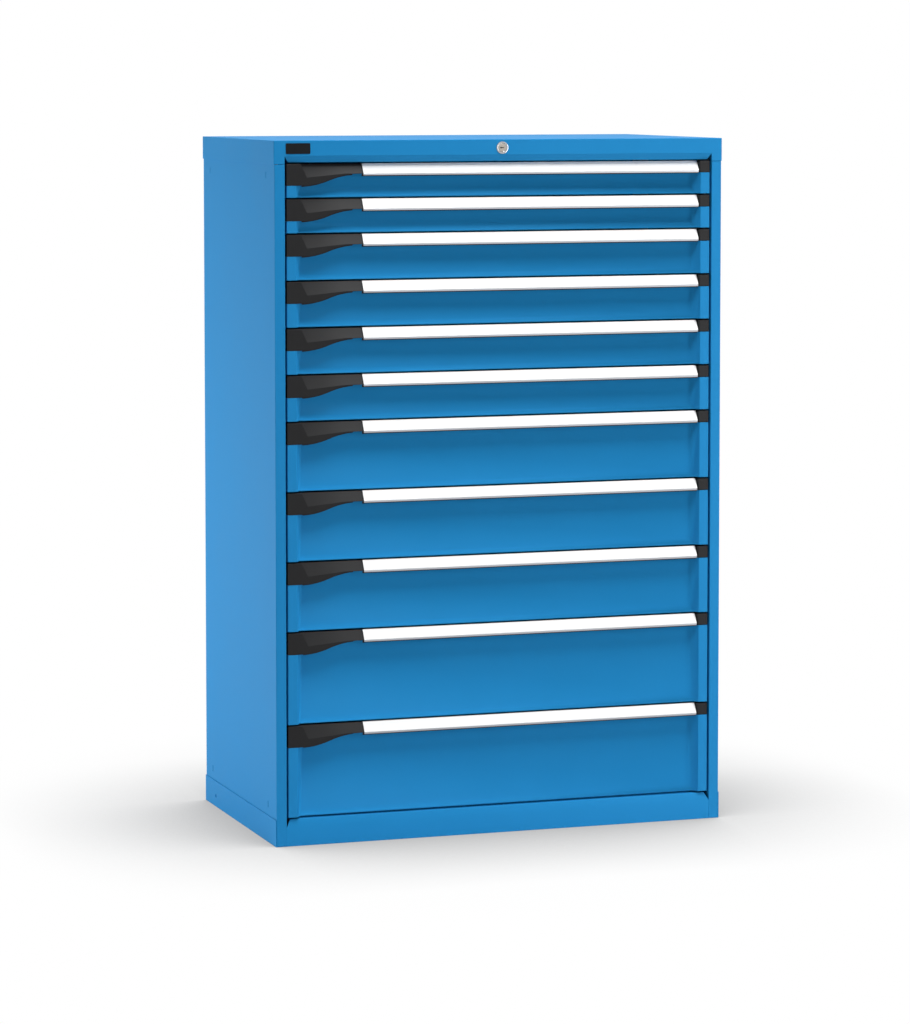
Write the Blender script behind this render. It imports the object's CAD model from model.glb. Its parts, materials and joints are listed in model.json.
# %% [markdown]
# # A workshop cabinet with eleven drawers
#
# The cabinet is folded sheet steel with a powder coat, eleven drawers on roller slides, an aluminium pull
# bar on every drawer with a moulded grip at its left end, and one lock in the top rail. Its construction
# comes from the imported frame, which is in metres, on the floor, with the drawers opening towards -Y. This
# lesson gives every piece its finish and its soft edges, and adds what is too fine for the frame.

# %% Load the frame
import json
import math

import bmesh
import bpy
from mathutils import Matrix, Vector

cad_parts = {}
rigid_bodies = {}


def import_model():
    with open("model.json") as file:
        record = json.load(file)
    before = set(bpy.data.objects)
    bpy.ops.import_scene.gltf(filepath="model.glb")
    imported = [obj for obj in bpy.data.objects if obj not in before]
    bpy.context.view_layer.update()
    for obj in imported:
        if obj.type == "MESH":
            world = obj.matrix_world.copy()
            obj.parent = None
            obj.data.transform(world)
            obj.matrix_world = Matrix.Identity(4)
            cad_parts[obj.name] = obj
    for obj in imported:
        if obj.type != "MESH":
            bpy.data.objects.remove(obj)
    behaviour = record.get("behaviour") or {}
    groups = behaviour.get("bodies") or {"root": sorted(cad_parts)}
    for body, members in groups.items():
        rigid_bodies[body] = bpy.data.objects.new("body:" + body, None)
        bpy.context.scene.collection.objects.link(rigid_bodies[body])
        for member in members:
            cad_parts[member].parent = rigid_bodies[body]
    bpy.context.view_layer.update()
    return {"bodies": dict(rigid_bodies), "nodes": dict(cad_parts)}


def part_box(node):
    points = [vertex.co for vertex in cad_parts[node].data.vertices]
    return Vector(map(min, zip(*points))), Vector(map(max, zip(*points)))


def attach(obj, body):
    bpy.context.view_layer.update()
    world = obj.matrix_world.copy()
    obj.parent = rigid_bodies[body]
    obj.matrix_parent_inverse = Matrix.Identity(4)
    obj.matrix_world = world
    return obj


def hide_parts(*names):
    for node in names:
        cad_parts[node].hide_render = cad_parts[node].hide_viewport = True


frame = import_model()
scene = bpy.context.scene
scene.view_settings.view_transform = "Standard"
MM = 0.001
DRAWERS = sorted(name for name in frame["bodies"] if name.startswith("drawer_"))

# %% [markdown]
# ## The camera
#
# The photo looks a little down on the cabinet from its left, through a long lens. Its place was worked out
# from the cabinet's visible corners, so that they fall where the photo has them. The optical axis meets the
# picture above its middle, which is a lens shift and not a tilt: the uprights stay nearly parallel. A
# camera could be aimed with a Track To constraint instead, but a direction worked out from two angles is
# easier to check.

# %% Camera
PICTURE_HEIGHT = 1024
AXIS_ROW = 358
FOCAL_PIXELS = 3836.4
SENSOR = 36.0
FARTHEST_SEEN = 100.0
CAMERA_PLACE = Vector((-2772.0, -8068.3, 1650.5)) * MM
CAMERA_YAW = math.radians(18.898)
CAMERA_PITCH = math.radians(4.252)

lens = bpy.data.cameras.new("photo_lens")
lens.sensor_width = SENSOR
lens.lens = FOCAL_PIXELS / PICTURE_HEIGHT * SENSOR
lens.shift_y = (AXIS_ROW - PICTURE_HEIGHT / 2) / PICTURE_HEIGHT
lens.clip_end = FARTHEST_SEEN
camera = bpy.data.objects.new("photo_camera", lens)
scene.collection.objects.link(camera)
flat = math.cos(CAMERA_PITCH)
gaze = Vector((math.sin(CAMERA_YAW) * flat, math.cos(CAMERA_YAW) * flat, -math.sin(CAMERA_PITCH)))
camera.location = CAMERA_PLACE
camera.rotation_mode = "QUATERNION"
camera.rotation_quaternion = gaze.to_track_quat("-Z", "Y")
scene.camera = camera
print(f"lens {lens.lens:.1f} mm, shift {lens.shift_y:.3f}")

# %% [markdown]
# ## Node helpers
#
# Every finish below is a small node tree. Writing the trees in code gets long unless a few helpers take up
# what repeats: one adds a node with its values, one works out a number from two others, one starts a group
# with named sockets, and one turns the eight-bit colour that a picture program shows into the linear colour
# of a shader.


# %% Helpers for node trees
def add_node(tree, kind, inputs=(), **settings):
    """A node with its settings, and its inputs set or linked by name or number."""
    node = tree.nodes.new(kind)
    for name, value in settings.items():
        setattr(node, name, value)
    for key, value in dict(inputs).items():
        if isinstance(value, bpy.types.NodeSocket):
            tree.links.new(value, node.inputs[key])
        else:
            node.inputs[key].default_value = value
    return node


def math_result(tree, operation, first, second):
    """The result of a Math node on two values or sockets."""
    return add_node(tree, "ShaderNodeMath", {0: first, 1: second}, operation=operation).outputs[0]


def colour(red, green, blue):
    """Linear colour of an eight-bit one, by the usual screen curve."""
    shares = [channel / 255 for channel in (red, green, blue)]
    linear = [s / 12.92 if s <= 0.04045 else ((s + 0.055) / 1.055) ** 2.4 for s in shares]
    return (*linear, 1.0)


def shader_group(name, inputs, outputs):
    """An empty node group with named sockets, and its two end nodes."""
    group = bpy.data.node_groups.new(name, "ShaderNodeTree")
    for label, kind, value in inputs:
        socket = group.interface.new_socket(label, in_out="INPUT", socket_type=kind)
        socket.default_value = value
    for label, kind in outputs:
        group.interface.new_socket(label, in_out="OUTPUT", socket_type=kind)
    return group, group.nodes.new("NodeGroupInput"), group.nodes.new("NodeGroupOutput")


print("helpers ready")

# %% [markdown]
# ## Two surface effects that several finishes share
#
# Powder coat, moulded plastic and paper all have a fine bumpy skin over a slow, cloudy variation. Drawn and
# rolled metals have lines along one direction instead. Each effect is a group with its own scale, so that
# one group makes orange peel on paint and spark texture on plastic. A Voronoi texture could draw rounder
# grains, but noise shows no cell borders, and at this size the eye only sees that the gloss is broken. The
# groups put out masks and heights only, and the shader stays in the material.

# %% Skin group
skin, skin_in, skin_out = shader_group(
    "skin",
    [("Grains per metre", "NodeSocketFloat", 700.0), ("Clouds per metre", "NodeSocketFloat", 6.0)],
    [("Height", "NodeSocketFloat"), ("Cloud", "NodeSocketFloat")],
)
place = add_node(skin, "ShaderNodeTexCoord").outputs["Object"]
grain = add_node(
    skin,
    "ShaderNodeTexNoise",
    {"Vector": place, "Scale": skin_in.outputs["Grains per metre"], "Detail": 2.0, "Roughness": 0.55},
)
cloud = add_node(
    skin,
    "ShaderNodeTexNoise",
    {"Vector": place, "Scale": skin_in.outputs["Clouds per metre"], "Detail": 3.0, "Roughness": 0.6},
)
skin.links.new(grain.outputs["Fac"], skin_out.inputs["Height"])
skin.links.new(cloud.outputs["Fac"], skin_out.inputs["Cloud"])
print("group", skin.name)

# %% Drawn lines group
STREAKS_PER_METRE = 60.0
ALONG_X = (0.01, 1.0, 1.0)
ALONG_Y = (1.0, 0.01, 1.0)

drawn, drawn_in, drawn_out = shader_group(
    "drawn_lines",
    [("Lines per metre", "NodeSocketFloat", 900.0), ("Stretch", "NodeSocketVector", ALONG_X)],
    [("Height", "NodeSocketFloat"), ("Streak", "NodeSocketFloat")],
)
place = add_node(drawn, "ShaderNodeTexCoord").outputs["Object"]
pulled = add_node(
    drawn, "ShaderNodeVectorMath", {0: place, 1: drawn_in.outputs["Stretch"]}, operation="MULTIPLY"
).outputs["Vector"]
line = add_node(
    drawn,
    "ShaderNodeTexNoise",
    {"Vector": pulled, "Scale": drawn_in.outputs["Lines per metre"], "Detail": 3.0},
)
streak = add_node(
    drawn, "ShaderNodeTexNoise", {"Vector": pulled, "Scale": STREAKS_PER_METRE, "Detail": 2.0}
)
drawn.links.new(line.outputs["Fac"], drawn_out.inputs["Height"])
drawn.links.new(streak.outputs["Fac"], drawn_out.inputs["Streak"])
print("group", drawn.name)

# %% [markdown]
# ## A finish from two tones
#
# A finish is described by two colours close to each other, two roughnesses and the depth of its skin. The
# cloud or streak mask moves between the two, and the height feeds a bump. Constants such as metal or shine
# are set on the shader itself. One function builds all of them, and each finish then names its own numbers.


# %% Finish function
def finish_of(name, group, group_inputs, tones, roughness, skin_depth, metallic=0.0, shine=0.5):
    """A material whose colour and roughness wander between two values, with the group's height as bump."""
    material = bpy.data.materials.new(name)
    material.use_nodes = True
    tree = material.node_tree
    shader = tree.nodes["Principled BSDF"]
    effect = add_node(tree, "ShaderNodeGroup", node_tree=group)
    for label, value in group_inputs.items():
        effect.inputs[label].default_value = value
    # The mask is the second output of both groups. A Mix node has sockets of the same names for every kind
    # of value, so they go by number: its two colours are inputs 6 and 7, and their mix is output 2.
    mask = effect.outputs[1]
    tint = add_node(tree, "ShaderNodeMix", {0: mask, 6: tones[0], 7: tones[1]}, data_type="RGBA")
    rough = add_node(
        tree, "ShaderNodeMapRange", {"Value": mask, "To Min": roughness[0], "To Max": roughness[1]}
    )
    bump = add_node(tree, "ShaderNodeBump", {"Height": effect.outputs["Height"], "Distance": skin_depth})
    tree.links.new(tint.outputs[2], shader.inputs["Base Color"])
    tree.links.new(rough.outputs["Result"], shader.inputs["Roughness"])
    tree.links.new(bump.outputs["Normal"], shader.inputs["Normal"])
    shader.inputs["Metallic"].default_value = metallic
    shader.inputs["Specular IOR Level"].default_value = shine
    material.diffuse_color = tones[0]
    return material


print("finish function ready")

# %% [markdown]
# ## The finishes
#
# The photo shows one blue on housing and drawers, satin and clean. The bars carry a white strip above a
# grey aluminium lip. Grips and end pieces are charcoal plastic. What the photo doesn't show, such as slides
# and the lock's works, is zinc-plated steel as on cabinets of this kind. The two tones of a finish are only
# a few steps apart: a new coat of paint is even, and a stronger cloud would look like dirt. An image of
# real paint could give the same look, but a procedural finish has no seams and fits any size.

# %% Paint and plastic
PAINT_SKIN = {"Grains per metre": 620.0, "Clouds per metre": 5.0}
PAINT = {
    "group": skin,
    "group_inputs": PAINT_SKIN,
    "tones": (colour(31, 131, 191), colour(35, 135, 196)),
    "roughness": (0.46, 0.54),
    "skin_depth": 0.03 * MM,
    "shine": 0.06,
}
PLASTIC_SKIN = {"Grains per metre": 1400.0, "Clouds per metre": 30.0}

FINISHES = {
    "housing_paint": finish_of("blue_powder_coat", **PAINT),
    "drawer_paint": finish_of("blue_drawer_coat", **PAINT),
    "grip_black": finish_of(
        "charcoal_plastic",
        skin,
        PLASTIC_SKIN,
        tones=(colour(28, 28, 29), colour(33, 33, 34)),
        roughness=(0.42, 0.5),
        skin_depth=0.03 * MM,
        shine=0.15,
    ),
    "black_plate": finish_of(
        "plate_lacquer",
        skin,
        PLASTIC_SKIN,
        tones=(colour(19, 21, 24), colour(24, 26, 29)),
        roughness=(0.4, 0.46),
        skin_depth=0.01 * MM,
        shine=0.1,
    ),
}
label_white = finish_of(
    "label_strip_white",
    skin,
    {"Grains per metre": 900.0, "Clouds per metre": 12.0},
    tones=(colour(236, 236, 235), colour(240, 240, 240)),
    roughness=(0.4, 0.48),
    skin_depth=0.01 * MM,
)
print(len(FINISHES) + 1, "finishes without metal")

# %% Metals
FINISHES["bar_aluminium"] = finish_of(
    "anodised_bar",
    drawn,
    {"Lines per metre": 1500.0, "Stretch": ALONG_X},
    tones=(colour(176, 178, 182), colour(188, 190, 193)),
    roughness=(0.34, 0.42),
    skin_depth=0.01 * MM,
    metallic=0.85,
)
FINISHES["zinc_steel"] = finish_of(
    "zinc_plate",
    drawn,
    {"Lines per metre": 700.0, "Stretch": ALONG_Y},
    tones=(colour(150, 156, 163), colour(176, 181, 186)),
    roughness=(0.32, 0.48),
    skin_depth=0.02 * MM,
    metallic=0.9,
)
FINISHES["lock_chrome"] = finish_of(
    "lock_ring_chrome",
    skin,
    PLASTIC_SKIN,
    tones=(colour(176, 178, 180), colour(186, 188, 190)),
    roughness=(0.14, 0.2),
    skin_depth=0.004 * MM,
    metallic=1.0,
)
FINISHES["lock_face"] = finish_of(
    "lock_face_nickel",
    skin,
    PLASTIC_SKIN,
    tones=(colour(162, 157, 148), colour(172, 167, 158)),
    roughness=(0.3, 0.38),
    skin_depth=0.008 * MM,
    metallic=0.6,
)
print(len(FINISHES) + 1, "finishes with the metals")

# %% [markdown]
# ## Whole faces from the frame's triangles
#
# The frame's solids are loose triangles. A bevel and a clean shade need the real faces, so corners that lie
# on each other are welded first, and flat neighbours are merged. Some nodes hold several solids that touch,
# such as a bar and the strip in it. Welding the whole node would join them, so those are told apart before
# the weld: the triangles come solid by solid, and a solid is whole once every edge has been used in both
# directions. Blender's own Separate by Loose Parts needs shared corners, which loose triangles don't have
# yet.

# %% Whole faces
WELD = 0.002 * MM
FLAT_ANGLE = math.radians(0.4)


def whole_faces(mesh):
    """The bmesh with shared corners, and with its flat triangles merged into faces."""
    bmesh.ops.remove_doubles(mesh, verts=mesh.verts, dist=WELD)
    bmesh.ops.dissolve_limit(mesh, angle_limit=FLAT_ANGLE, verts=mesh.verts, edges=mesh.edges)
    return mesh


def merged(node):
    """The solids of a node as one bmesh."""
    mesh = bmesh.new()
    mesh.from_mesh(frame["nodes"][node].data)
    return whole_faces(mesh)


def clean(triangles):
    """One solid's triangles, each a list of corners, as a bmesh."""
    mesh = bmesh.new()
    for triangle in triangles:
        mesh.faces.new([mesh.verts.new(corner) for corner in triangle])
    return whole_faces(mesh)


def solids_of(node):
    """The solids of a node, each as a bmesh of its own."""
    source = frame["nodes"][node].data
    open_edges = set()
    solids = [[]]
    for face in source.polygons:
        corners = [tuple(round(c / WELD) for c in source.vertices[i].co) for i in face.vertices]
        solids[-1].append([source.vertices[i].co.copy() for i in face.vertices])
        for edge in zip(corners, corners[1:] + corners[:1]):
            if edge[::-1] in open_edges:
                open_edges.remove(edge[::-1])
            else:
                open_edges.add(edge)
        if not open_edges:
            solids.append([])
    return [clean(triangles) for triangles in solids if triangles]


def limits(mesh):
    """Lowest and highest corner of a bmesh."""
    axes = list(zip(*(corner.co for corner in mesh.verts)))
    return Vector([min(axis) for axis in axes]), Vector([max(axis) for axis in axes])


print(f"corners within {WELD / MM} mm are one")

# %% [markdown]
# ## Soft edges on folded sheet
#
# A brake press bends sheet round a small radius, and light draws a thin line along every such bend. The
# frame's solids have sharp bends. Each outward edge gets as much radius as the faces beside it have room
# for: the full one on a bend between two broad faces, and a hair along the sheet's own thickness. The Bevel
# modifier reads that from an edge weight and hardens the normals, so that the faces stay perfectly flat.
# One width for all edges would fold the thin faces over, and a subdivision surface would need many more
# faces for the same look.
#
# A tray's rim is one face that runs round the whole opening. Once a bevel moves its corners a little off
# the plane, such a concave face can fold over the opening as a lid, so concave faces are cut into convex
# ones.

# %% Weights for the bevel
SHARP_ANGLE = math.radians(28)
BEND_RADIUS = 1.1 * MM
ROOM_SHARE = 0.25
PROBES_ALONG = (0.06, 0.5, 0.94)


def room_beside(edge, face):
    """How far a face reaches from one of its edges, square to it, at the narrowest of three places."""
    loop = next(loop for loop in face.loops if loop.edge == edge)
    start, end = loop.vert.co, loop.link_loop_next.vert.co
    along = (end - start).normalized()
    inward = face.normal.cross(along)
    nearest = math.inf
    for share in PROBES_ALONG:
        foot = start.lerp(end, share)
        for other in face.edges:
            offsets = [corner.co - foot for corner in other.verts]
            (along_1, in_1), (along_2, in_2) = [(v.dot(along), v.dot(inward)) for v in offsets]
            if other != edge and along_1 * along_2 < 0:
                reach = in_1 - along_1 * (in_2 - in_1) / (along_2 - along_1)
                nearest = min(nearest, reach) if reach > WELD else nearest
    return nearest


def weigh_edges(mesh, radius):
    """Bevel weights on the outward edges, as large as the faces beside them allow."""
    weight = mesh.edges.layers.float.new("bevel_weight_edge")
    count = 0
    for edge in mesh.edges:
        if edge.is_manifold and edge.calc_face_angle_signed() > SHARP_ANGLE:
            room = min(room_beside(edge, face) for face in edge.link_faces)
            edge[weight] = min(1.0, ROOM_SHARE * room / radius)
            count += 1
    return count


def convex(mesh):
    """Cuts the concave faces, such as a tray's rim, into convex ones, which stay right under a bevel."""
    bmesh.ops.connect_verts_concave(mesh, faces=mesh.faces[:])


print(f"bends up to {BEND_RADIUS / MM} mm")

# %% Pieces from meshes
BEVEL_STEPS = 3


def shade(data):
    """Smooth faces with sharp edges where they turn by more than a curve's step."""
    data.shade_smooth()
    data.set_sharp_from_angle(angle=SHARP_ANGLE)


def new_piece(name, mesh, body, slot, finish=None, stands_for=()):
    """A finished bmesh as a piece of the object, at the origin, on its body."""
    data = bpy.data.meshes.new(name)
    mesh.to_mesh(data)
    mesh.free()
    shade(data)
    data.materials.append(finish or FINISHES[slot])
    piece = bpy.data.objects.new(name, data)
    scene.collection.objects.link(piece)
    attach(piece, body)
    if stands_for:
        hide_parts(*stands_for)
    return piece


def soft_piece(name, mesh, body, slot, node, radius, finish=None):
    """A piece with a live bevel that stands for a node. Gives the numbers of its faces and soft edges."""
    count = weigh_edges(mesh, radius)
    convex(mesh)
    piece = new_piece(name, mesh, body, slot, finish, stands_for=[node])
    bevel = piece.modifiers.new("soft_edges", "BEVEL")
    bevel.limit_method = "WEIGHT"
    bevel.width = radius
    bevel.segments = BEVEL_STEPS
    bevel.use_clamp_overlap = False
    bevel.harden_normals = True
    return len(piece.data.polygons), count


print("bevels have", BEVEL_STEPS, "steps")

# %% [markdown]
# ## The housing
#
# On the real cabinet the side panels end in the front posts, and cover, plinth, back and bottom pan join
# the two panels. Each could be drawn anew as a thin surface with a Solidify modifier. The frame already has
# every flange, lip and hole at its size, though, so its solids are taken over, and only their bends are
# new. All six are folded sheet, so they go through the same function.

# %% Housing
for node in ("left_side_panel", "right_side_panel", "top_cover", "base_plinth", "back_panel", "bottom_pan"):
    name = f"{node}_sheet"
    made = soft_piece(name, merged(node), "housing", "housing_paint", node, BEND_RADIUS)
    print(name, "has", made[0], "faces and", made[1], "soft edges")

# %% [markdown]
# ## The drawers
#
# A drawer's dished front is welded to its tray, so the two are one piece here as well. An Array modifier on
# one drawer would be shorter, but the drawers differ in height, and each has to ride on a body of its own.

# %% Drawer fronts and trays
for drawer in DRAWERS:
    node = f"{drawer}_tray"
    name = f"{drawer}_front_and_tray"
    made = soft_piece(name, merged(node), drawer, "drawer_paint", node, BEND_RADIUS)
    print(name, "has", made[0], "faces and", made[1], "soft edges")

# %% [markdown]
# ## Bars, label strips, grips and end pieces
#
# A handle is five things on the real drawer: an aluminium extrusion, a white strip let into its face, a
# black backing strip behind it, the moulded grip at its left end and the small block at its right end. The
# frame keeps them in one node as separate solids that touch. They are told apart by their left ends and
# lower edges, and each gets its own finish. Modelling them anew would only risk a second, slightly
# different handle.
#
# The grip needs one mend. In the frame the pocket for the latch lever breaks through the leaning finger
# face, as a wedge about a millimetre high, which no moulded grip has. The wedge's two corners become one,
# which closes the face. The pocket's own faces then get new corners a little further back, so that a thin
# wall stands between them.

# %% Handle values
HANDLE_EDGE = 0.6 * MM
STRIP_EDGE = 0.15 * MM
HANDLE_SOLIDS = (
    ("grip", "grip_black", HANDLE_EDGE),
    ("bar_backing", "grip_black", STRIP_EDGE),
    ("bar", "bar_aluminium", HANDLE_EDGE),
    ("label_strip", "bar_aluminium", STRIP_EDGE),
    ("end_piece", "grip_black", HANDLE_EDGE),
)


def left_and_low(mesh):
    """Sorts the solids of a handle from the left, and those that start together from below."""
    low, _ = limits(mesh)
    return round(low.x, 4), low.z


print(len(HANDLE_SOLIDS), "pieces on every handle")

# %% Closing the finger face
# The wedge's corners lie at the pocket's left wall, forward of a plane and not far below the grip's top.
POCKET_LEFT = -447.0 * MM
POCKET_FRONT = -274.6 * MM
POCKET_DROP = 12.0 * MM
POCKET_SLACK = 0.1 * MM
POCKET_WALL = 0.2 * MM
LOOKS_FORWARD = -0.5


def close_finger_face(mesh):
    """Closes the pocket's wedge in a grip's finger face, and counts the edges that stay open."""
    top = limits(mesh)[1].z
    corners = [
        corner
        for corner in mesh.verts
        if abs(corner.co.x - POCKET_LEFT) < POCKET_SLACK
        and corner.co.y < POCKET_FRONT
        and corner.co.z > top - POCKET_DROP
    ]
    low, high = sorted(corners, key=lambda corner: corner.co.z)
    bmesh.ops.weld_verts(mesh, targetmap={low: high})
    mesh.normal_update()
    seam = next(edge for edge in high.link_edges if len(edge.link_faces) > 2)
    ends = list(seam.verts)
    back = {corner: mesh.verts.new(corner.co + Vector((0.0, POCKET_WALL, 0.0))) for corner in ends}
    inner = [face for face in mesh.faces if face.normal.y > LOOKS_FORWARD and set(ends) & set(face.verts)]
    for face in inner:
        mesh.faces.new([back.get(corner, corner) for corner in face.verts])
    bmesh.ops.delete(mesh, geom=inner, context="FACES")
    mesh.normal_update()
    return sum(not edge.is_manifold for edge in mesh.edges)


print(f"{POCKET_WALL / MM} mm of wall behind the finger face")

# %% Handles and levers
for drawer in DRAWERS:
    node = f"{drawer}_handle"
    solids = sorted(solids_of(node), key=left_and_low)
    for mesh, (part, slot, edge) in zip(solids, HANDLE_SOLIDS, strict=True):
        if part == "grip":
            print(node, "grip closed,", close_finger_face(mesh), "open edges")
        finish = label_white if part == "label_strip" else None
        soft_piece(f"{drawer}_{part}", mesh, drawer, slot, node, edge, finish)
    node = f"{drawer}_latch"
    latch = drawer.replace("drawer", "latch")
    soft_piece(f"{drawer}_lever", merged(node), latch, "grip_black", node, HANDLE_EDGE)
print(len(DRAWERS), "handles and levers")

# %% [markdown]
# ## The lock
#
# A cabinet lock is turned from brass and plated: a ring with a bevelled rim and a turned groove, and a plug
# with a key slot and a wider keyway cut into it. Turned parts are outlines of radius and depth, swung round
# the axis. A Screw modifier would do that too, but in code a ring that lies on the axis is simply one
# corner. The frame's barrel has flats where nobody sees them, and a plain face, so both parts are made anew
# at the frame's sizes. The slot is cut with an exact Boolean, because a slot drawn on the face would stay a
# picture of a slot.

# %% Turned parts
TURN_SIDES = 72
PLUG_LOW, PLUG_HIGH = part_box("lock_plug")
BARREL_LOW, BARREL_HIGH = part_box("lock_barrel")
AXIS = (PLUG_LOW + PLUG_HIGH) / 2


def turned(outline, name):
    """A closed mesh from an outline of radius and depth, the ends of which lie on the axis or meet."""
    mesh = bmesh.new()
    rings = []
    for radius, depth in outline:
        count = TURN_SIDES if radius > 0 else 1
        angles = [2 * math.pi * k / count for k in range(count)]
        places = [(AXIS.x + radius * math.sin(a), depth, AXIS.z + radius * math.cos(a)) for a in angles]
        rings.append([mesh.verts.new(place) for place in places])
    loop = rings if outline[0][0] == 0 else rings + rings[:1]
    for first, second in zip(loop, loop[1:]):
        for k in range(TURN_SIDES):
            corners = [first[k % len(first)], first[(k + 1) % len(first)]]
            corners += [second[(k + 1) % len(second)], second[k % len(second)]]
            mesh.faces.new(list(dict.fromkeys(corners)))
    bmesh.ops.recalc_face_normals(mesh, faces=mesh.faces)
    print(name, len(mesh.faces), "faces")
    return mesh


print(f"lock axis at x {AXIS.x / MM:.1f}, z {AXIS.z / MM:.1f} mm")


# %% Cutting
def block(low, high):
    """A box between two corners, as a bmesh."""
    mesh = bmesh.new()
    bmesh.ops.create_cube(mesh, size=1.0)
    size = Vector(high) - Vector(low)
    middle = (Vector(high) + Vector(low)) / 2
    for corner in mesh.verts:
        corner.co = Vector([corner.co[i] * size[i] + middle[i] for i in range(3)])
    return mesh


def cut_out(mesh, tool, name):
    """The mesh less the tool, both bmeshes, by an exact Boolean whose result is kept."""
    objects = []
    for part in (mesh, tool):
        data = bpy.data.meshes.new(name)
        part.to_mesh(data)
        part.free()
        objects.append(bpy.data.objects.new(name, data))
        scene.collection.objects.link(objects[-1])
    whole, knife = objects
    cut = whole.modifiers.new("cut", "BOOLEAN")
    cut.object = knife
    cut.solver = "EXACT"
    bpy.context.view_layer.update()
    result = bmesh.new()
    result.from_mesh(whole.evaluated_get(bpy.context.evaluated_depsgraph_get()).data)
    for part in objects:
        bpy.data.objects.remove(part)
    return result


print("cutting tools ready")

# %% Ring, barrel and clip
FASCIA_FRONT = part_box("top_cover")[0].y
RING_RADIUS = (BARREL_HIGH.z - BARREL_LOW.z) / 2
BARREL_RADIUS = 10.45 * MM
PLUG_RADIUS = (PLUG_HIGH.z - PLUG_LOW.z) / 2
RUNNING_FIT = 0.06 * MM
BORE = PLUG_RADIUS + RUNNING_FIT
RING_FRONT = BARREL_LOW.y
FACE_STEP = 0.35 * MM
FACE_FRONT = RING_FRONT + FACE_STEP
BORE_EDGE_WIDTH = 0.4 * MM
BORE_EDGE_DEPTH = 0.5 * MM
EDGE_BREAK = 0.1 * MM
GROOVE_RADIUS = 10.2 * MM
GROOVE_HALF = 0.3 * MM
GROOVE_DEPTH = 0.35 * MM
RIM_BEVEL = 1.0 * MM
RIM_MIDDLE_IN = 0.4
RIM_MIDDLE_BACK = 0.25

ring = turned(
    [
        (BORE, FACE_FRONT + BORE_EDGE_DEPTH),
        (BORE + BORE_EDGE_WIDTH, FACE_FRONT + EDGE_BREAK),
        (GROOVE_RADIUS - GROOVE_HALF, FACE_FRONT),
        (GROOVE_RADIUS, FACE_FRONT + GROOVE_DEPTH),
        (GROOVE_RADIUS + GROOVE_HALF, RING_FRONT + EDGE_BREAK),
        (GROOVE_RADIUS + GROOVE_HALF * 2, RING_FRONT),
        (RING_RADIUS - RIM_BEVEL, RING_FRONT),
        (RING_RADIUS - RIM_BEVEL * RIM_MIDDLE_IN, RING_FRONT + RIM_BEVEL * RIM_MIDDLE_BACK),
        (RING_RADIUS, RING_FRONT + RIM_BEVEL),
        (RING_RADIUS, FASCIA_FRONT),
        (BARREL_RADIUS, FASCIA_FRONT),
        (BARREL_RADIUS, BARREL_HIGH.y),
        (BORE, BARREL_HIGH.y),
    ],
    "lock ring",
)
new_piece("lock_ring_and_barrel", ring, "housing", "lock_chrome", stands_for=["lock_barrel"])

clip = next(mesh for mesh in solids_of("lock_barrel") if limits(mesh)[0].y > FASCIA_FRONT)
new_piece("lock_spring_clip", clip, "housing", "zinc_steel", stands_for=["lock_barrel"])

# %% Plug with its key slot
PLUG_EDGE_WIDTH = 0.5 * MM
PLUG_EDGE_DEPTH = 0.4 * MM
TANG_HALF = 3.5 * MM
TANG_START = 5.0 * MM
SLOT_HALF_LENGTH = 4.0 * MM
SLOT_HALF_WIDTH = 0.9 * MM
SLOT_DEPTH = 14.0 * MM
KEYWAY_HALF_WIDTH = 1.5 * MM
KEYWAY_PAST_SLOT = 1.0 * MM
KEYWAY_FROM_AXIS = 1.0 * MM
CUT_AIR = 1.0 * MM

plug = turned(
    [
        (0, PLUG_LOW.y),
        (PLUG_RADIUS - PLUG_EDGE_WIDTH, PLUG_LOW.y),
        (PLUG_RADIUS, PLUG_LOW.y + PLUG_EDGE_DEPTH),
        (PLUG_RADIUS, PLUG_HIGH.y - TANG_START),
        (0, PLUG_HIGH.y - TANG_START),
    ],
    "lock plug",
)
cut_front = PLUG_LOW.y - CUT_AIR
cut_back = PLUG_LOW.y + SLOT_DEPTH
slot_left = AXIS.x - SLOT_HALF_LENGTH
slot = block(
    (slot_left, cut_front, AXIS.z - SLOT_HALF_WIDTH),
    (AXIS.x + SLOT_HALF_LENGTH, cut_back, AXIS.z + SLOT_HALF_WIDTH),
)
plug = cut_out(plug, slot, "plug_with_slot")
keyway = block(
    (slot_left - KEYWAY_PAST_SLOT, cut_front, AXIS.z - KEYWAY_HALF_WIDTH),
    (AXIS.x - KEYWAY_FROM_AXIS, cut_back, AXIS.z + KEYWAY_HALF_WIDTH),
)
plug = cut_out(plug, keyway, "plug_with_keyway")
new_piece("lock_plug_turned", plug, "lock_core", "lock_face", stands_for=["lock_plug"])
tang = block(
    (AXIS.x - TANG_HALF, PLUG_HIGH.y - TANG_START, AXIS.z - TANG_HALF),
    (AXIS.x + TANG_HALF, PLUG_HIGH.y, AXIS.z + TANG_HALF),
)
new_piece("lock_tang", tang, "lock_core", "zinc_steel", stands_for=["lock_plug"])
print("lock ready")

# %% [markdown]
# ## Rollers and rivets on the carriages
#
# Between each drawer and the housing runs a flat bar with four rollers, and each roller turns on a rivet
# whose head shows in the middle of its face. The same roller comes back 88 times, so Geometry Nodes place
# it: one point stands in the middle of every roller, and the tree sets three cylinders along X on each
# point. The first is the tread, the second is a little smaller and reaches out to the roller's faces, which
# leaves a step round their rims, and the third is the rivet. The frame's rollers have eight flats, because
# the slides hold so many, and these are round. A plain array couldn't follow places that differ in depth
# and side.

# %% Roller tree inputs
ROLLER_SIDES = 28
RIVET_SIDES = 14
ROLLER_EDGE = 0.8 * MM
RIVET_RADIUS = 3.2 * MM
RIVET_HEAD = 1.0 * MM
USUAL_RADIUS = 10.0 * MM
USUAL_WIDTH = 9.5 * MM


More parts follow.
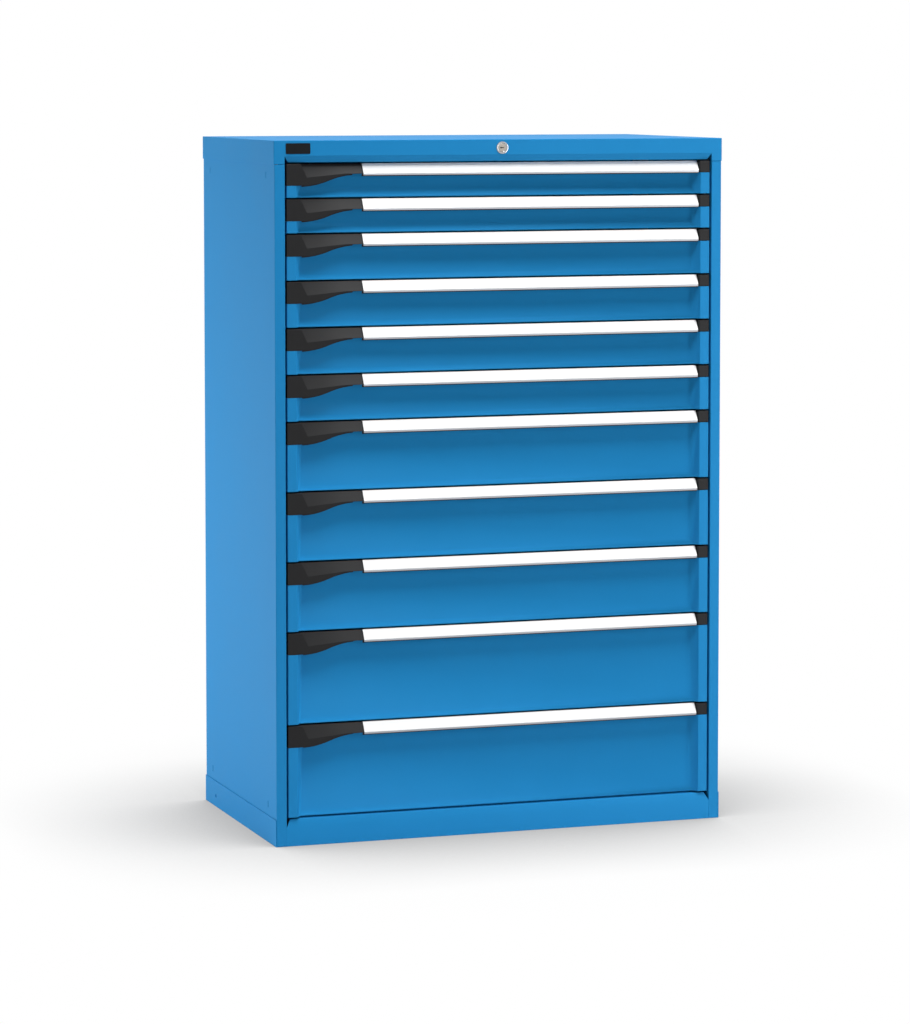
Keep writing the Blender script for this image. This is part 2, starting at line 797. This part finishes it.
def tree_input(tree, label, kind, value):
    """A named input of a Geometry Nodes tree, and the identifier that a modifier sets it by."""
    socket = tree.interface.new_socket(label, in_out="INPUT", socket_type=kind)
    if value is not None:
        socket.default_value = value
    return socket.identifier


rollers = bpy.data.node_groups.new("rollers_on_points", "GeometryNodeTree")
tree_input(rollers, "Points", "NodeSocketGeometry", None)
radius_id = tree_input(rollers, "Roller radius", "NodeSocketFloat", USUAL_RADIUS)
width_id = tree_input(rollers, "Roller width", "NodeSocketFloat", USUAL_WIDTH)
rivet_id = tree_input(rollers, "Rivet radius", "NodeSocketFloat", RIVET_RADIUS)
finish_id = tree_input(rollers, "Finish", "NodeSocketMaterial", None)
rollers.interface.new_socket("Rollers", in_out="OUTPUT", socket_type="NodeSocketGeometry")
print("inputs", radius_id, width_id, rivet_id, finish_id)


# %% Roller tree
def round_solid(tree, radius, depth, sides):
    """A cylinder along X with its radius and depth from sockets."""
    inputs = {"Vertices": sides, "Radius": radius, "Depth": depth}
    solid = add_node(tree, "GeometryNodeMeshCylinder", inputs).outputs["Mesh"]
    turn = {"Geometry": solid, "Rotation": (0.0, math.pi / 2, 0.0)}
    return add_node(tree, "GeometryNodeTransform", turn).outputs["Geometry"]


given = rollers.nodes.new("NodeGroupInput").outputs
tread_width = math_result(rollers, "SUBTRACT", given["Roller width"], ROLLER_EDGE * 2)
face_radius = math_result(rollers, "SUBTRACT", given["Roller radius"], ROLLER_EDGE)
rivet_width = math_result(rollers, "ADD", given["Roller width"], RIVET_HEAD)
joined = rollers.nodes.new("GeometryNodeJoinGeometry")
for solid in (
    round_solid(rollers, given["Roller radius"], tread_width, ROLLER_SIDES),
    round_solid(rollers, face_radius, given["Roller width"], ROLLER_SIDES),
    round_solid(rollers, given["Rivet radius"], rivet_width, RIVET_SIDES),
):
    rollers.links.new(solid, joined.inputs["Geometry"])
placed = add_node(
    rollers,
    "GeometryNodeInstanceOnPoints",
    {"Points": given["Points"], "Instance": joined.outputs["Geometry"]},
)
real = add_node(rollers, "GeometryNodeRealizeInstances", {"Geometry": placed.outputs["Instances"]})
coated = add_node(
    rollers,
    "GeometryNodeSetMaterial",
    {"Geometry": real.outputs["Geometry"], "Material": given["Finish"]},
)
leave = rollers.nodes.new("NodeGroupOutput")
rollers.links.new(coated.outputs["Geometry"], leave.inputs["Rollers"])
print("tree", rollers.name)

# %% Bars and roller places
SHORTEST_BAR = 100.0 * MM


def bars_and_places(node):
    """A carriage node's bars as one bmesh, its rollers' middles, and a roller's radius and width."""
    bars = bmesh.new()
    places = []
    for solid in solids_of(node):
        low, high = limits(solid)
        if high.y - low.y > SHORTEST_BAR:
            kept = bpy.data.meshes.new("bar")
            solid.to_mesh(kept)
            bars.from_mesh(kept)
            bpy.data.meshes.remove(kept)
        else:
            places.append((low + high) / 2)
            radius = (high.z - low.z) / 2
            width = high.x - low.x
        solid.free()
    return bars, places, radius, width


def rollers_at(name, places, radius, width):
    """The tree's rollers on some places, as a plain mesh."""
    seeds = bpy.data.meshes.new(f"{name}_seeds")
    seeds.from_pydata(places, [], [])
    holder = bpy.data.objects.new(f"{name}_seeds", seeds)
    scene.collection.objects.link(holder)
    modifier = holder.modifiers.new("rollers", "NODES")
    modifier.node_group = rollers
    for identifier, value in ((radius_id, radius), (width_id, width), (rivet_id, RIVET_RADIUS)):
        modifier[identifier] = value
    modifier[finish_id] = FINISHES["zinc_steel"]
    bpy.context.view_layer.update()
    data = bpy.data.meshes.new_from_object(holder.evaluated_get(bpy.context.evaluated_depsgraph_get()))
    bpy.data.objects.remove(holder)
    return data


print(f"whatever is over {SHORTEST_BAR / MM:.0f} mm deep is a bar")

# %% Carriages
for drawer in DRAWERS:
    node = f"{drawer}_carriages"
    body = drawer.replace("drawer", "carriage")
    bars, places, radius, width = bars_and_places(node)
    soft_piece(f"{drawer}_carriage_bars", bars, body, "zinc_steel", node, HANDLE_EDGE)
    data = rollers_at(drawer, places, radius, width)
    shade(data)
    piece = bpy.data.objects.new(f"{drawer}_rollers", data)
    scene.collection.objects.link(piece)
    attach(piece, body)
    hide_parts(node)
print(len(DRAWERS), "pairs of carriages with", len(places), "rollers each")

# %% [markdown]
# ## Finishes for what stays as it is
#
# Uprights, rails, guides and the lock's crank, rod and bar are plain cut and pressed parts, and the plate
# on the top rail is a flat one. Their solids are right as they are, and most of them lie deep inside, where
# a soft edge wouldn't show. They could be bevelled as well, at the price of many faces that nobody sees, so
# they only get the finish of their slot.

# %% Remaining nodes
SLOT_OF_NODE = {
    "rail_uprights": "zinc_steel",
    "fixed_rails": "zinc_steel",
    "badge_plate": "black_plate",
    "lock_cam": "zinc_steel",
    "lock_rod": "zinc_steel",
    "locking_bar": "zinc_steel",
    "bar_guides": "zinc_steel",
}
for node, slot in SLOT_OF_NODE.items():
    data = frame["nodes"][node].data
    data.materials.clear()
    data.materials.append(FINISHES[slot])
print(len(SLOT_OF_NODE), "nodes keep their shape")

# %% [markdown]
# ## The floor
#
# The cabinet stands on white with a soft shade round its foot. A white surface under studio lamps would do,
# but it never comes out evenly white, and its shade depends on every lamp. So the camera and reflections
# see a floor that glows plain white, less what ambient occlusion takes away where the cabinet stands close.
# Near the cabinet a small share of a real diffuse floor is mixed in, which takes the lamps' own shadows.
# All other rays meet the diffuse floor alone, and it lights the cabinet from below as a real one does.

# %% Floor
FLOOR_SIZE = 60.0
SHADOW_REACH = (0.7, 1.25)
CONTACT_REACH = 0.55
CONTACT_SHARE = 0.92
CONTACT_SAMPLES = 16
PALE = (0.8, 0.8, 0.8, 1.0)
WHITE = (1.0, 1.0, 1.0, 1.0)


def shown_rays(tree):
    """One for the rays that should find the background white, and nought for the others."""
    rays = add_node(tree, "ShaderNodeLightPath").outputs
    direct = math_result(tree, "MAXIMUM", rays["Is Camera Ray"], rays["Is Glossy Ray"])
    return math_result(tree, "MAXIMUM", direct, rays["Is Transmission Ray"])


floor_mesh = bmesh.new()
bmesh.ops.create_grid(floor_mesh, x_segments=1, y_segments=1, size=FLOOR_SIZE / 2)
floor_data = bpy.data.meshes.new("floor")
floor_mesh.to_mesh(floor_data)
floor_mesh.free()
floor = bpy.data.objects.new("floor", floor_data)
scene.collection.objects.link(floor)
print("floor", FLOOR_SIZE, "m")

# %% Floor finish
floor_finish = bpy.data.materials.new("white_floor")
floor_finish.use_nodes = True
tree = floor_finish.node_tree
tree.nodes.clear()
place = add_node(tree, "ShaderNodeTexCoord").outputs["Object"]
distance = add_node(tree, "ShaderNodeVectorMath", {0: place}, operation="LENGTH").outputs["Value"]
far = add_node(
    tree,
    "ShaderNodeMapRange",
    {"Value": distance, "From Min": SHADOW_REACH[0], "From Max": SHADOW_REACH[1]},
    interpolation_type="SMOOTHSTEP",
).outputs["Result"]
share = add_node(
    tree, "ShaderNodeMapRange", {"Value": far, "To Min": CONTACT_SHARE, "To Max": 1.0}
).outputs["Result"]
glowing = math_result(tree, "MULTIPLY", share, shown_rays(tree))
nearness = add_node(
    tree, "ShaderNodeAmbientOcclusion", {"Distance": CONTACT_REACH}, samples=CONTACT_SAMPLES
).outputs["AO"]
matt = add_node(tree, "ShaderNodeBsdfDiffuse", {"Color": PALE}).outputs[0]
glow = add_node(tree, "ShaderNodeEmission", {"Color": WHITE, "Strength": nearness}).outputs[0]
mixed = add_node(tree, "ShaderNodeMixShader", {0: glowing, 1: matt, 2: glow}).outputs[0]
add_node(tree, "ShaderNodeOutputMaterial", {"Surface": mixed})
floor_data.materials.append(floor_finish)
print("finish", floor_finish.name)

# %% [markdown]
# ## World and lamps
#
# The world is white for the camera and for every reflection, and lights the object only faintly. The light
# comes from three softboxes: a large one overhead, which leaves the recesses under the bars in shade, a
# tall strip at the right, which brightens the fronts, and a low one at the left, which lifts the side
# panel. A bright world alone would light the whole cabinet evenly and take that shade out of the recesses.

# %% World
WORLD_LEVEL = 0.1
world = bpy.data.worlds.new("studio")
scene.world = world
world.use_nodes = True
tree = world.node_tree
tree.nodes.clear()
level = add_node(
    tree, "ShaderNodeMapRange", {"Value": shown_rays(tree), "To Min": WORLD_LEVEL, "To Max": 1.0}
).outputs["Result"]
sky = add_node(tree, "ShaderNodeBackground", {"Color": WHITE, "Strength": level}).outputs[0]
add_node(tree, "ShaderNodeOutputWorld", {"Surface": sky})
print("world", WORLD_LEVEL)


# %% Lamps
def softbox(name, place, target, width, height, watts):
    """A flat lamp that looks at a point and that the camera doesn't see."""
    lamp = bpy.data.lights.new(name, "AREA")
    lamp.shape = "RECTANGLE"
    lamp.size = width
    lamp.size_y = height
    lamp.energy = watts
    holder = bpy.data.objects.new(name, lamp)
    scene.collection.objects.link(holder)
    holder.location = place
    holder.rotation_mode = "QUATERNION"
    holder.rotation_quaternion = (Vector(target) - Vector(place)).to_track_quat("-Z", "Y")
    holder.visible_camera = False
    return holder


LAMPS = [
    softbox(
        "ceiling_softbox",
        place=(0.2, -1.9, 6.5),
        target=(0.0, -0.2, 0.75),
        width=3.0,
        height=3.0,
        watts=405.0,
    ),
    softbox(
        "right_strip",
        place=(1.9, -2.2, 0.8),
        target=(0.1, -0.3, 0.75),
        width=0.8,
        height=2.4,
        watts=35.0,
    ),
    softbox(
        "left_softbox",
        place=(-2.8, 1.2, 0.4),
        target=(-0.5, 0.0, 0.5),
        width=1.6,
        height=1.0,
        watts=58.0,
    ),
]
print(len(LAMPS), "lamps")
